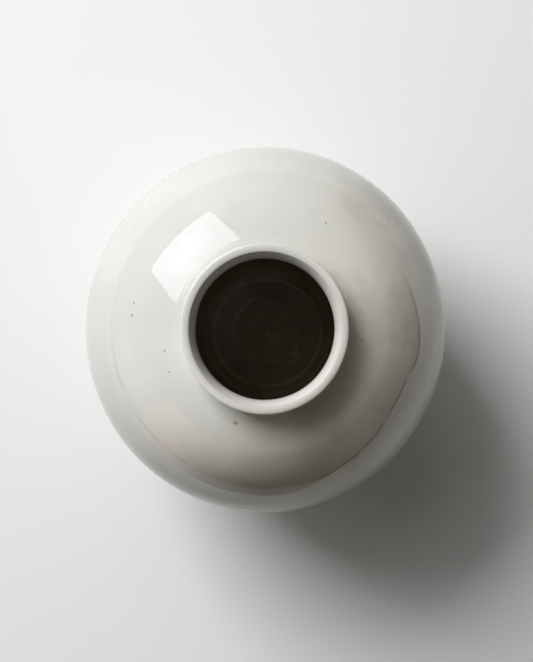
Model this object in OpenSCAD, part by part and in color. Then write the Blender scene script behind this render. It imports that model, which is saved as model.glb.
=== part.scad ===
// Moon jar: a big round porcelain jar, thrown as two bowls that are luted rim to rim at the waist.
// A low foot ring and a short neck with a rolled lip are luted on, and glaze covers all but the foot's base.
// Lengths are millimetres. The jar stands on z = 0 with its axis on z, and every piece is a turned section.

/* [Body] */
// Widest diameter, over the glaze
body_d = 400; // [360:1:460]
// Height of the widest line above the table
waist_h = 190; // [170:1:204]
// Radius of the haunch, the curve just above the waist
haunch_r = 120; // [100:1:150]
// Height above the waist at which the flatter shoulder curve takes over from the haunch
haunch_rise = 96; // [75:1:98]
// Radius of the shoulder curve
shoulder_r = 176; // [160:1:260]
// Thickness of the clay wall at the waist and above it
wall_t = 8; // [7:0.5:10]
// Thickness of the clay floor over the foot
floor_t = 12; // [9:0.5:16]
// Radius of the dished floor inside
floor_r = 300; // [260:5:400]
// Thickness of the fired glaze
glaze_t = 0.8; // [0.5:0.1:1.2]

/* [Foot] */
// Outer diameter of the foot ring, over the glaze
foot_d = 160; // [140:1:180]
// Height of the foot ring, which is the depth of the well inside it
foot_h = 10; // [7:0.5:14]
// Width of the foot ring's clay
foot_w = 10; // [8:0.5:14]
// Radius of the hollow between the foot and the belly
foot_cove_r = 5; // [3:0.5:8]
// Radius on both edges of the face that the jar stands on
foot_edge_r = 1.5; // [1:0.25:3]
// Height of the bare clay below the glaze
bare_h = 4; // [3.5:0.5:6]

/* [Neck] */
// Diameter of the throat, the narrowest part of the mouth, over the glaze
throat_d = 144; // [120:1:160]
// Thickness of the neck over both glazes
neck_t = 10; // [9:0.5:12]
// Height of the neck from its joint with the shoulder to the crest of the lip
neck_h = 19; // [16:0.5:30]
// Thickness of the rolled lip, over the glaze
lip_t = 9; // [8:0.5:11]
// How far the lip stands out past the neck
lip_out = 4; // [3:0.5:5]
// Radius of the hollow under the lip
under_lip_r = 6; // [4:0.5:7]
// Radius of the hollow between the shoulder and the neck
neck_cove_r = 8; // [5:0.5:12]
// Radius on the lower edge of the throat, inside the jar
throat_edge_r = 6; // [3:0.5:8]

/* [Luted joints] */
// Thickness of the slip between two pieces of clay
slip_t = 1; // [0.6:0.1:1.2]
// Radius of the ridge on the upper bowl's rim, which keys into the lower bowl's rim
key_r = 2; // [1.5:0.1:2.2]
// Radius of the coil's face, where it is pressed over the waist joint from inside
coil_r = 12; // [8:0.5:16]
// How far the coil stands out from the wall
coil_out = 4; // [2:0.5:6]

/* [Hidden] */
$fn = 180;

body_r = body_d / 2;
foot_r = foot_d / 2;
throat_r = throat_d / 2;
neck_r = throat_r + neck_t;
lip_r = lip_t / 2;
// Clay and both glazes together
shell_t = wall_t + 2 * glaze_t;
// A length that reaches out of the section from any point in it
reach = 2 * body_d;

// The belly curve leaves the waist upright and runs into the hollow over the foot
belly_in = body_r - foot_r - foot_cove_r;
belly_drop = waist_h - foot_h;
belly_r = (belly_in ^ 2 + belly_drop ^ 2 - foot_cove_r ^ 2) / (2 * (belly_in + foot_cove_r));
belly_c = [body_r - belly_r, waist_h];
foot_cove_c = [foot_r + foot_cove_r, foot_h];

// The shoulder curve is tangent to the haunch curve where it takes over
haunch_c = [body_r - haunch_r, waist_h];
handover = [sqrt(haunch_r ^ 2 - haunch_rise ^ 2), haunch_rise] / haunch_r;
shoulder_c = haunch_c - (shoulder_r - haunch_r) * handover;

// Inside, the side curve is tangent to the dished floor
side_w = body_r - shell_t;
base_z = foot_h + slip_t / 2;
floor_c = [0, base_z + floor_t + glaze_t + floor_r];
floor_lift = floor_c.y - waist_h;
side_r = (floor_r ^ 2 - side_w ^ 2 - floor_lift ^ 2) / (2 * (floor_r - side_w));
side_c = [side_w - side_r, waist_h];

// The hollow round the neck's base touches the shoulder and the neck, and the neck's joint is at its top
neck_cove_x = neck_r + neck_cove_r;
neck_z = shoulder_c.y + sqrt((shoulder_r + neck_cove_r) ^ 2 - (neck_cove_x - shoulder_c.x) ^ 2);
neck_cove_c = [neck_cove_x, neck_z];
lip_c = [neck_r + lip_out - lip_r, neck_z + neck_h - lip_r];
under_lip_x = neck_r + under_lip_r;
under_lip_drop = sqrt((lip_r + under_lip_r) ^ 2 - (under_lip_x - lip_c.x) ^ 2);
under_lip_c = [under_lip_x, lip_c.y - under_lip_drop];

// Inside the neck, the wall rises straight to the joint and then flares into the lip
throat_edge_x = throat_r + throat_edge_r;
ceiling_r = shoulder_r - shell_t;
throat_edge_drop = sqrt((ceiling_r + throat_edge_r) ^ 2 - (throat_edge_x - shoulder_c.x) ^ 2);
throat_edge_c = [throat_edge_x, shoulder_c.y + throat_edge_drop];
lip_in = lip_c.x - throat_r;
lip_lift = lip_c.y - neck_z;
flare_r = (lip_in ^ 2 + lip_lift ^ 2 - lip_r ^ 2) / (2 * (lip_in - lip_r));
flare_c = [throat_r + flare_r, neck_z];

// Faces that the pieces are luted on, and the clay foot ring's two radii
waist_low = waist_h - slip_t / 2;
waist_high = waist_h + slip_t / 2;
neck_low = neck_z - slip_t / 2;
neck_high = neck_z + slip_t / 2;
foot_top = foot_h - slip_t / 2;
ring_out = foot_r - glaze_t;
ring_in = ring_out - foot_w;
key_c = [body_r - glaze_t - wall_t / 2, waist_high];
coil_c = [body_r - glaze_t - wall_t - coil_out + coil_r, waist_h];

// A point past q on the line from p through q
function past(p, q) = q + reach * (q - p) / norm(q - p);

// A disc in the section
module disc(c, r) {
    translate(c) circle(r = r);
}

// What is between two heights
module band(low, high) {
    intersection() {
        children();
        translate([0, low]) square([reach, high - low]);
    }
}

// Fill from the axis out to a hollow curve about c, which ends on the line from c to the next curve's centre
module cove(c, r, next) {
    low = c.y < next.y ? c : next;
    high = c.y < next.y ? next : c;
    difference() {
        polygon([[0, low.y], low, high, [0, high.y]]);
        disc(c, r);
    }
}

// Fill under a curve about c, on the axis side of the line from c through p
module crown(c, r, p) {
    intersection() {
        disc(c, r);
        polygon([c, past(c, p), [0, past(c, p).y], [0, c.y]]);
    }
}

// The whole jar filled in, inset from the glaze's surface
module outside(inset) {
    intersection() {
        square(reach);
        union() {
            square([foot_r - inset, waist_h]);
            cove(foot_cove_c, foot_cove_r + inset, belly_c);
            band(0, waist_h) disc(belly_c, belly_r - inset);
            band(waist_h, reach) disc(haunch_c, haunch_r - inset);
            crown(shoulder_c, shoulder_r - inset, haunch_c);
            cove(neck_cove_c, neck_cove_r + inset, shoulder_c);
            square([neck_r - inset, lip_c.y]);
            cove(under_lip_c, under_lip_r + inset, lip_c);
            translate([0, lip_c.y]) square([lip_c.x, lip_r - inset]);
            disc(lip_c, lip_r - inset);
        }
    }
}

// The room inside, up through the mouth, grown past the inner glaze's surface
module hollow(grow) {
    intersection() {
        square(reach);
        union() {
            crown(floor_c, floor_r + grow, side_c);
            band(0, waist_h) disc(side_c, side_r + grow);
            band(waist_h, reach) disc(haunch_c, haunch_r - shell_t + grow);
            crown(shoulder_c, ceiling_r + grow, haunch_c);
            cove(throat_edge_c, throat_edge_r - grow, shoulder_c);
            translate([0, waist_h]) square([throat_r + grow, neck_z - waist_h]);
            mouth(grow);
        }
    }
}

// The flare of the neck, the inner half of the lip and the air above it
module mouth(grow) {
    edge = past(flare_c, lip_c);
    difference() {
        translate([0, neck_z]) square([lip_c.x, reach]);
        intersection() {
            disc(flare_c, flare_r - grow);
            polygon([flare_c, edge, [edge.x, flare_c.y]]);
        }
        disc(lip_c, lip_r - grow);
    }
}

// Section of all the clay above the foot ring
module clay() {
    difference() {
        outside(glaze_t);
        hollow(glaze_t);
    }
}

module foot_ring() {
    flat_in = ring_in + foot_edge_r;
    flat_out = ring_out - foot_edge_r;
    color("wheat") rotate_extrude() {
        translate([ring_in, foot_edge_r]) square([foot_w, foot_top - foot_edge_r]);
        translate([flat_in, 0]) square([flat_out - flat_in, foot_top]);
        disc([flat_in, foot_edge_r], foot_edge_r);
        disc([flat_out, foot_edge_r], foot_edge_r);
    }
}

module foot_slip() {
    color("tan") rotate_extrude() translate([ring_in, foot_top]) square([foot_w, slip_t]);
}

module lower_bowl() {
    color("linen") rotate_extrude() difference() {
        band(base_z, waist_low) clay();
        disc(key_c, key_r + slip_t);
    }
}

module waist_slip() {
    color("tan") rotate_extrude() difference() {
        union() {
            band(waist_low, waist_high) clay();
            band(0, waist_high) disc(key_c, key_r + slip_t);
        }
        disc(key_c, key_r);
    }
}

module waist_coil() {
    color("burlywood") rotate_extrude() intersection() {
        hollow(glaze_t);
        disc(coil_c, coil_r);
    }
}

module upper_bowl() {
    color("oldlace") rotate_extrude() {
        band(waist_high, neck_low) clay();
        band(0, waist_high) disc(key_c, key_r);
    }
}

module neck_slip() {
    color("tan") rotate_extrude() band(neck_low, neck_high) clay();
}

module neck_collar() {
    color("seashell") rotate_extrude() band(neck_high, reach) clay();
}

module outer_glaze() {
    color([0.89, 0.89, 0.86]) rotate_extrude() band(bare_h, reach) difference() {
        outside(0);
        outside(glaze_t);
        hollow(glaze_t);
    }
}

module inner_glaze() {
    color([0.84, 0.84, 0.79]) rotate_extrude() difference() {
        hollow(glaze_t);
        disc(coil_c, coil_r);
        difference() {
            hollow(0);
            disc(coil_c, coil_r + glaze_t);
        }
    }
}

module base_glaze() {
    color([0.82, 0.83, 0.79]) rotate_extrude() {
        translate([0, base_z - glaze_t]) square([ring_in, glaze_t]);
        translate([ring_in - glaze_t, bare_h]) square([glaze_t, base_z - bare_h]);
    }
}

foot_ring();
foot_slip();
lower_bowl();
waist_slip();
waist_coil();
upper_bowl();
neck_slip();
neck_collar();
outer_glaze();
inner_glaze();
base_glaze();
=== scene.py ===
"""The looks of a moon jar: a big round porcelain jar, thrown as two bowls and luted rim to rim.

Each piece of the jar is drawn as a section and turned about the z axis, as it was on the wheel. The
pieces then take the slight lean and swell of a thrown pot together, and each one gets its own finish.
"""
from __future__ import annotations

import logging
import math
import random
from dataclasses import dataclass, field
from enum import Enum
from functools import cached_property, partial, reduce
from typing import Callable, Iterable, NamedTuple

import bpy
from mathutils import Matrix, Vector


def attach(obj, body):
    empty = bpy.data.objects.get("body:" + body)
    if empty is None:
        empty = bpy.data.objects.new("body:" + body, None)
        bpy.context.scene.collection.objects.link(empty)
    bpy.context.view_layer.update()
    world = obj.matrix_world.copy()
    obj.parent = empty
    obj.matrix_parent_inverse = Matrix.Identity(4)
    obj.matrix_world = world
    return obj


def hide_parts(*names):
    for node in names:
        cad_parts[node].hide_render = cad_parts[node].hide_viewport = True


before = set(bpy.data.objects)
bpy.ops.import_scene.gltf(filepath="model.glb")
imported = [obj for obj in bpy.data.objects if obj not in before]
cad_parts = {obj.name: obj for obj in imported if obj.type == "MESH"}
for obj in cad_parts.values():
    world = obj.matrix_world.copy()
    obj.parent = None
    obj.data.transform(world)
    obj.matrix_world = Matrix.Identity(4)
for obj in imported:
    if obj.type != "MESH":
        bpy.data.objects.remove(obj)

log = logging.getLogger("moon_jar")

MM = 0.001
TURN = 2 * math.pi
QUARTER = math.pi / 2
ORIGIN = (0.0, 0.0, 0.0)
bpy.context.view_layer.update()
# Points of a section this close are one point
WELD = 2e-6
# A sharper turn between two faces stays a crease
CREASE = math.radians(35)

Colour = tuple[float, float, float]
Feed = bpy.types.NodeSocket | float | tuple[float, ...]


class Point(NamedTuple):
    """A point of a section: its distance from the jar's axis and its height, in metres."""

    x: float
    z: float

    def moved(self, angle: float, reach: float) -> Point:
        """Gives the point that lies at an angle and a distance from this one."""
        return Point(self.x + reach * math.cos(angle), self.z + reach * math.sin(angle))

    def toward(self, goal: Point) -> float:
        """Gives the angle at which another point lies, from the x axis towards the z axis."""
        return math.atan2(goal.z - self.z, goal.x - self.x)

    def over(self, reach: float, x: float) -> Point:
        """Finds a point at a distance from this one by its x.

        Args:
            reach: Its distance. A negative one stands for the point below.
            x: Its x.

        Returns:
            The point.
        """
        return Point(x, self.z + math.copysign(math.sqrt(reach**2 - (x - self.x) ** 2), reach))


@dataclass(frozen=True)
class Arc:
    """A round stretch of a surface in the section."""

    centre: Point
    radius: float
    start: float
    end: float

    def at(self, angle: float, lift: float = 0.0) -> Point:
        """Gives the point at an angle, raised from the arc by lift metres."""
        return self.centre.moved(angle, self.radius + lift)

    def back(self) -> Arc:
        """Gives the same stretch, drawn from its end."""
        return Arc(self.centre, self.radius, self.end, self.start)

    def angle_at(self, height: float) -> float:
        """Finds where the stretch passes a height.

        Args:
            height: The height in metres, kept within the stretch's own.

        Returns:
            The angle between the stretch's ends.
        """
        rise = math.asin(max(-1.0, min(1.0, (height - self.centre.z) / self.radius)))
        low, high = sorted((self.start, self.end))
        choices = [base + lap * TURN for base in (rise, math.pi - rise) for lap in (-1, 0, 1)]
        best = min(choices, key=lambda angle: abs(angle - (low + high) / 2))
        return max(low, min(high, best))

    def split(self, height: float) -> tuple[Arc, Arc]:
        """Gives the parts of an upward stretch below and above a height."""
        cut = self.angle_at(height)
        return Arc(self.centre, self.radius, self.start, cut), Arc(self.centre, self.radius, cut, self.end)

    def above(self, height: float) -> Arc:
        """Gives the part of an upward stretch that lies above a height."""
        return self.split(height)[1]

    def below(self, height: float) -> Arc:
        """Gives the part of an upward stretch that lies below a height."""
        return self.split(height)[0]

    def part(self, first: float, last: float) -> Arc:
        """Gives the part between two shares of the way along the stretch."""
        span = self.end - self.start
        return Arc(self.centre, self.radius, self.start + span * first, self.start + span * last)

    def crossing(self, centre: Point, radius: float) -> float:
        """Finds where the stretch crosses a circle.

        Args:
            centre: Centre of the circle.
            radius: Radius of the circle.

        Returns:
            The angle of the crossing nearest the stretch's middle.
        """
        gap = math.dist(self.centre, centre)
        facing = self.centre.toward(centre)
        spread = math.acos((self.radius**2 + gap**2 - radius**2) / (2 * self.radius * gap))
        middle = (self.start + self.end) / 2
        return min((facing - spread, facing + spread), key=lambda angle: abs(angle - middle))


def meeting_radius(width: float, height: float, other: float) -> float:
    """Gives the radius of a curve that leaves a point upright and runs into a round.

    Args:
        width: How far the round's centre lies to the side of the point.
        height: How far it lies above or below the point.
        other: The round's radius, negative where the round lies inside the curve or around it.

    Returns:
        The radius.
    """
    return (width**2 + height**2 - other**2) / (2 * (width + other))


@dataclass(frozen=True)
class JarSizes:
    """The jar's driving sizes in metres, the same as in its construction, and what follows from them."""

    body_d: float = 400 * MM
    waist_h: float = 190 * MM
    haunch_r: float = 120 * MM
    haunch_rise: float = 96 * MM
    shoulder_r: float = 176 * MM
    wall_t: float = 8 * MM
    floor_t: float = 12 * MM
    floor_r: float = 300 * MM
    glaze_t: float = 0.8 * MM
    foot_d: float = 160 * MM
    foot_h: float = 10 * MM
    foot_w: float = 10 * MM
    foot_cove_r: float = 5 * MM
    foot_edge_r: float = 1.5 * MM
    bare_h: float = 4 * MM
    throat_d: float = 144 * MM
    neck_t: float = 10 * MM
    neck_h: float = 19 * MM
    lip_t: float = 9 * MM
    lip_out: float = 4 * MM
    under_lip_r: float = 6 * MM
    neck_cove_r: float = 8 * MM
    throat_edge_r: float = 6 * MM
    slip_t: float = 1 * MM
    key_r: float = 2 * MM
    coil_r: float = 12 * MM
    coil_out: float = 4 * MM
    crown_r: float = 10.5 * MM
    crown_half: float = math.radians(17)
    lip_edge_r: float = 2.0 * MM
    mouth_edge_r: float = 1.5 * MM

    def joint(self, height: float) -> tuple[float, float]:
        """Gives the lower and the upper face of the slip in a joint at a height."""
        return height - self.slip_t / 2, height + self.slip_t / 2

    @property
    def body_r(self) -> float:
        """Widest radius."""
        return self.body_d / 2

    @property
    def foot_r(self) -> float:
        """Radius of the foot over the glaze."""
        return self.foot_d / 2

    @property
    def ring_out(self) -> float:
        """Outer radius of the foot's clay."""
        return self.foot_r - self.glaze_t

    @property
    def ring_in(self) -> float:
        """Inner radius of the foot's clay."""
        return self.ring_out - self.foot_w

    @property
    def base_z(self) -> float:
        """Height of the jar's clay base over the foot."""
        return self.foot_h + self.slip_t / 2

    @property
    def throat_r(self) -> float:
        """Radius of the throat."""
        return self.throat_d / 2

    @property
    def neck_r(self) -> float:
        """Outer radius of the neck."""
        return self.throat_r + self.neck_t

    @property
    def shell_t(self) -> float:
        """Thickness of the wall with both glazes."""
        return self.wall_t + 2 * self.glaze_t

    @cached_property
    def foot_cove_c(self) -> Point:
        """Centre of the hollow between the foot and the belly."""
        return Point(self.foot_r + self.foot_cove_r, self.foot_h)

    @cached_property
    def belly_r(self) -> float:
        """Radius of the belly curve, which leaves the waist upright and runs into the foot's hollow."""
        width = self.body_r - self.foot_r - self.foot_cove_r
        return meeting_radius(width, self.waist_h - self.foot_h, self.foot_cove_r)

    @cached_property
    def belly_c(self) -> Point:
        """Centre of the belly curve."""
        return Point(self.body_r - self.belly_r, self.waist_h)

    @cached_property
    def haunch_c(self) -> Point:
        """Centre of the haunch curve, just above the waist."""
        return Point(self.body_r - self.haunch_r, self.waist_h)

    @cached_property
    def handover(self) -> float:
        """Direction in which the shoulder curve takes over from the haunch curve."""
        return math.asin(self.haunch_rise / self.haunch_r)

    @cached_property
    def shoulder_c(self) -> Point:
        """Centre of the shoulder curve."""
        return self.haunch_c.moved(self.handover, self.haunch_r - self.shoulder_r)

    @property
    def ceiling_r(self) -> float:
        """Radius of the shoulder curve inside."""
        return self.shoulder_r - self.shell_t

    @cached_property
    def neck_cove_c(self) -> Point:
        """Centre of the hollow round the neck's base."""
        return self.shoulder_c.over(self.shoulder_r + self.neck_cove_r, self.neck_r + self.neck_cove_r)

    @property
    def neck_z(self) -> float:
        """Height of the neck's joint."""
        return self.neck_cove_c.z

    @property
    def crest_z(self) -> float:
        """Height of the lip's crest."""
        return self.neck_z + self.neck_h

    @cached_property
    def crown_c(self) -> Point:
        """Centre of the low crown on the lip."""
        return Point(self.neck_r + self.lip_out - self.lip_t / 2, self.crest_z - self.crown_r)

    @cached_property
    def lip_edge_c(self) -> Point:
        """Centre of the lip's outer edge."""
        return self.crown_c.moved(QUARTER - self.crown_half, self.crown_r - self.lip_edge_r)

    @cached_property
    def mouth_edge_c(self) -> Point:
        """Centre of the lip's inner edge."""
        return self.crown_c.moved(QUARTER + self.crown_half, self.crown_r - self.mouth_edge_r)

    @cached_property
    def under_lip_c(self) -> Point:
        """Centre of the hollow under the lip."""
        return self.lip_edge_c.over(-self.lip_edge_r - self.under_lip_r, self.neck_r + self.under_lip_r)

    @cached_property
    def throat_edge_c(self) -> Point:
        """Centre of the round on the lower edge of the throat."""
        return self.shoulder_c.over(self.ceiling_r + self.throat_edge_r, self.throat_r + self.throat_edge_r)

    @cached_property
    def flare_r(self) -> float:
        """Radius of the flare inside the neck, which runs into the lip."""
        centre = self.mouth_edge_c
        return meeting_radius(centre.x - self.throat_r, centre.z - self.neck_z, -self.mouth_edge_r)

    @cached_property
    def flare_c(self) -> Point:
        """Centre of the flare inside the neck."""
        return Point(self.throat_r + self.flare_r, self.neck_z)

    @cached_property
    def floor_c(self) -> Point:
        """Centre of the dished floor's curve."""
        return Point(0.0, self.base_z + self.floor_t + self.glaze_t + self.floor_r)

    @cached_property
    def side_r(self) -> float:
        """Radius of the side inside, which is tangent to the dished floor."""
        return meeting_radius(self.body_r - self.shell_t, self.floor_c.z - self.waist_h, -self.floor_r)

    @cached_property
    def side_c(self) -> Point:
        """Centre of the side's curve inside."""
        return Point(self.body_r - self.shell_t - self.side_r, self.waist_h)

    @cached_property
    def key_c(self) -> Point:
        """Centre of the ridge on the upper bowl's rim."""
        return Point(self.body_r - self.glaze_t - self.wall_t / 2, self.waist_h + self.slip_t / 2)

    @cached_property
    def coil_c(self) -> Point:
        """Centre of the coil's face."""
        return Point(self.body_r - self.glaze_t - self.wall_t - self.coil_out + self.coil_r, self.waist_h)

    def outside(self, inset: float) -> dict[str, Arc]:
        """Gives the round stretches of the outside, from the foot up to the lip's crest.

        Args:
            inset: How far the surface lies under the glaze's own.

        Returns:
            The stretches by name, in order.
        """
        cove, belly, shoulder = self.foot_cove_c, self.belly_c, self.shoulder_c
        neck, under, edge = self.neck_cove_c, self.under_lip_c, self.lip_edge_c
        rim = QUARTER - self.crown_half
        return {
            "foot_cove": Arc(cove, self.foot_cove_r + inset, math.pi, cove.toward(belly)),
            "belly": Arc(belly, self.belly_r - inset, belly.toward(cove), 0.0),
            "haunch": Arc(self.haunch_c, self.haunch_r - inset, 0.0, self.handover),
            "shoulder": Arc(shoulder, self.shoulder_r - inset, self.handover, shoulder.toward(neck)),
            "neck_cove": Arc(neck, self.neck_cove_r + inset, neck.toward(shoulder) + TURN, math.pi),
            "under_lip": Arc(under, self.under_lip_r + inset, math.pi, under.toward(edge)),
            "lip_edge": Arc(edge, self.lip_edge_r - inset, edge.toward(under), rim),
            "crown": Arc(self.crown_c, self.crown_r - inset, rim, QUARTER),
        }

    def inside(self, grow: float) -> dict[str, Arc]:
        """Gives the round stretches of the inside, from the axis up to the lip's crest.

        Args:
            grow: How far the surface lies behind the glaze's own.

        Returns:
            The stretches by name, in order.
        """
        floor, side, shoulder = self.floor_c, self.side_c, self.shoulder_c
        throat, flare, edge = self.throat_edge_c, self.flare_c, self.mouth_edge_c
        rim = QUARTER + self.crown_half
        return {
            "floor": Arc(floor, self.floor_r + grow, -QUARTER, floor.toward(side)),
            "side": Arc(side, self.side_r + grow, floor.toward(side), 0.0),
            "haunch": Arc(self.haunch_c, self.haunch_r - self.shell_t + grow, 0.0, self.handover),
            "ceiling": Arc(shoulder, self.ceiling_r + grow, self.handover, shoulder.toward(throat)),
            "throat_edge": Arc(throat, self.throat_edge_r - grow, throat.toward(shoulder) + TURN, math.pi),
            "flare": Arc(flare, self.flare_r - grow, math.pi, flare.toward(edge)),
            "mouth_edge": Arc(edge, self.mouth_edge_r - grow, flare.toward(edge), rim),
            "crown": Arc(self.crown_c, self.crown_r - grow, rim, QUARTER),
        }


class Ridge(NamedTuple):
    """A low ridge that a finger or rib left: its distance or height, its rise and half width, in mm."""

    at: float
    rise: float
    half: float

    def lift(self, place: float) -> float:
        """Gives how far the surface stands out at a distance or height in metres, in metres."""
        return self.rise * MM * math.exp(-(((place / MM - self.at) / self.half) ** 2))


# Rings on the shoulder close to the neck, by their distance from the axis
NECK_RIDGES = (
    Ridge(88.5, 0.035, 1.0),
    Ridge(91.5, 0.03, 1.2),
    Ridge(95.0, 0.03, 1.3),
    Ridge(99.5, 0.03, 1.6),
    Ridge(107.0, 0.04, 2.5),
)
# Fine lines that the rib left on the haunch, by their distance from the axis
HAUNCH_RIDGES = (Ridge(161.0, 0.045, 0.7), Ridge(164.5, 0.03, 1.2))
# The faint swell of the joint between the two bowls, by its height
WAIST_RIDGES = (Ridge(189.0, 0.32, 6.5), Ridge(178.0, 0.1, 3.5))
# Ridges on the inner wall of the neck, by their height
MOUTH_RIDGES = (
    Ridge(322.0, 0.10, 0.9),
    Ridge(325.4, 0.14, 0.9),
    Ridge(328.6, 0.12, 0.8),
    Ridge(331.8, 0.12, 0.8),
    Ridge(335.0, 0.10, 0.8),
)
# Rings that the fingers left on the floor, by their distance from the axis
FLOOR_RIDGES = (
    Ridge(14.6, 0.18, 2.4),
    Ridge(36.0, 0.32, 4.0),
    Ridge(47.0, 0.10, 3.0),
    Ridge(64.5, 0.60, 2.6),
    Ridge(75.0, 0.22, 3.0),
)


def across(ridges: tuple[Ridge, ...]) -> Callable[[Point], float]:
    """Makes the relief of ridges that lie at distances from the axis.

    Args:
        ridges: The ridges.

    Returns:
        How far the surface stands out at a point of the section, in metres.
    """
    return lambda point: sum(ridge.lift(point.x) for ridge in ridges)


def upward(ridges: tuple[Ridge, ...]) -> Callable[[Point], float]:
    """Makes the relief of ridges that lie at heights.

    Args:
        ridges: The ridges.

    Returns:
        How far the surface stands out at a point of the section, in metres.
    """
    return lambda point: sum(ridge.lift(point.z) for ridge in ridges)


class Section:
    """A section in the x-z plane, drawn as a wire in edit mode and then turned about the z axis."""

    def __init__(self, name: str, start: Point) -> None:
        """Puts the first point of the wire down.

        Args:
            name: Name of the piece.
            start: The first point.
        """
        bpy.ops.object.select_all(action="DESELECT")
        bpy.ops.mesh.primitive_plane_add(size=MM)
        self.piece = bpy.context.active_object
        self.piece.name = name
        self.start = start
        self.pen = start
        bpy.ops.object.mode_set(mode="EDIT")
        bpy.ops.mesh.select_all(action="SELECT")
        bpy.ops.mesh.merge(type="CENTER")
        bpy.ops.transform.translate(value=(start.x, 0.0, start.z))

    def line(self, *ends: Point) -> Section:
        """Draws straight stretches.

        Args:
            *ends: Where they end. A point on the pen draws nothing.

        Returns:
            The section, to draw on.
        """
        for end in ends:
            if math.dist(end, self.pen) >= WELD:
                move = (end.x - self.pen.x, 0.0, end.z - self.pen.z)
                bpy.ops.mesh.extrude_region_move(TRANSFORM_OT_translate={"value": move})
                self.pen = end
        return self

    def arc(self, arc: Arc, steps: int) -> Section:
        """Draws a line to an arc's start, unless the pen is there, and then the arc.

        Args:
            arc: The arc.
            steps: How many edges it gets.

        Returns:
            The section, to draw on.
        """
        self.line(arc.at(arc.start))
        bpy.ops.mesh.spin(
            steps=steps,
            angle=arc.end - arc.start,
            center=(arc.centre.x, 0.0, arc.centre.z),
            axis=(0.0, 1.0, 0.0),
        )
        self.pen = arc.at(arc.end)
        return self

    def relief(self, arc: Arc, steps: int, height: Callable[[Point], float]) -> Section:
        """Draws an arc that fingers or a rib have marked.

        Args:
            arc: The arc.
            steps: How many edges it gets.
            height: How far the surface stands out from the arc at a point, in metres.

        Returns:
            The section, to draw on.
        """
        angles = [arc.start + (arc.end - arc.start) * step / steps for step in range(steps + 1)]
        return self.line(*(arc.at(angle, height(arc.at(angle))) for angle in angles))

    def turn(self, segments: int) -> bpy.types.Object:
        """Turns the wire about the z axis into a closed piece.

        Args:
            segments: How many faces go round the piece.

        Returns:
            The piece, with its faces pointing outwards.
        """
        if self.start.x > WELD:
            self.line(self.start)
        bpy.ops.mesh.select_all(action="SELECT")
        bpy.ops.mesh.remove_doubles(threshold=WELD)
        bpy.ops.object.mode_set(mode="OBJECT")
        wheel = self.piece.modifiers.new("wheel", "SCREW")
        wheel.steps = segments
        wheel.render_steps = segments
        wheel.use_merge_vertices = True
        wheel.merge_threshold = WELD
        bpy.ops.object.modifier_apply(modifier=wheel.name)
        bpy.ops.object.mode_set(mode="EDIT")
        bpy.ops.mesh.select_all(action="SELECT")
        bpy.ops.mesh.remove_doubles(threshold=WELD)
        bpy.ops.mesh.normals_make_consistent(inside=False)
        bpy.ops.object.mode_set(mode="OBJECT")
        bpy.ops.object.shade_smooth_by_angle(angle=CREASE)
        return self.piece


class Effect(Enum):
    """An effect that finishes share, which is one node group. Its value names its method on the shelf."""

    CLOUDS = "clouds"
    SPECKS = "iron_specks"
    SPOT = "spot"
    BAND = "band"
    SECTOR = "sector"
    RIBS = "throwing_ribs"
    STREAKS = "runs"
    SKIN = "glaze_skin"
    CRAZE = "crazing"
    GRIT = "grit"


class Blend(Enum):
    """How a colour meets the one under it."""

    COVER = "MIX"
    TINT = "MULTIPLY"


class Side(NamedTuple):
    """A side of the jar: the way it faces in degrees, and the cosines off that way at its edge and core."""

    azimuth: float
    start: float
    full: float


class Band(NamedTuple):
    """A band between two measures, with the widths of its soft edges, in mm."""

    low: float
    high: float
    rise: float
    fall: float


class Patch(NamedTuple):
    """A patch of colour: the side and the band that it keeps to, its strength and how it lies."""

    colour: Colour
    side: Side | None
    band: Band | None
    share: float = 1.0
    blend: Blend = Blend.TINT


class Mark(NamedTuple):
    """A small mark: its azimuth in degrees, its distance from the axis, height and radius in mm."""

    azimuth: float
    reach: float
    height: float
    radius: float
    colour: Colour

    @property
    def centre(self) -> tuple[float, float, float]:
        """The mark's place in metres."""
        flat = Point(0.0, 0.0).moved(math.radians(self.azimuth), self.reach * MM)
        return (*flat, self.height * MM)


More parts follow.
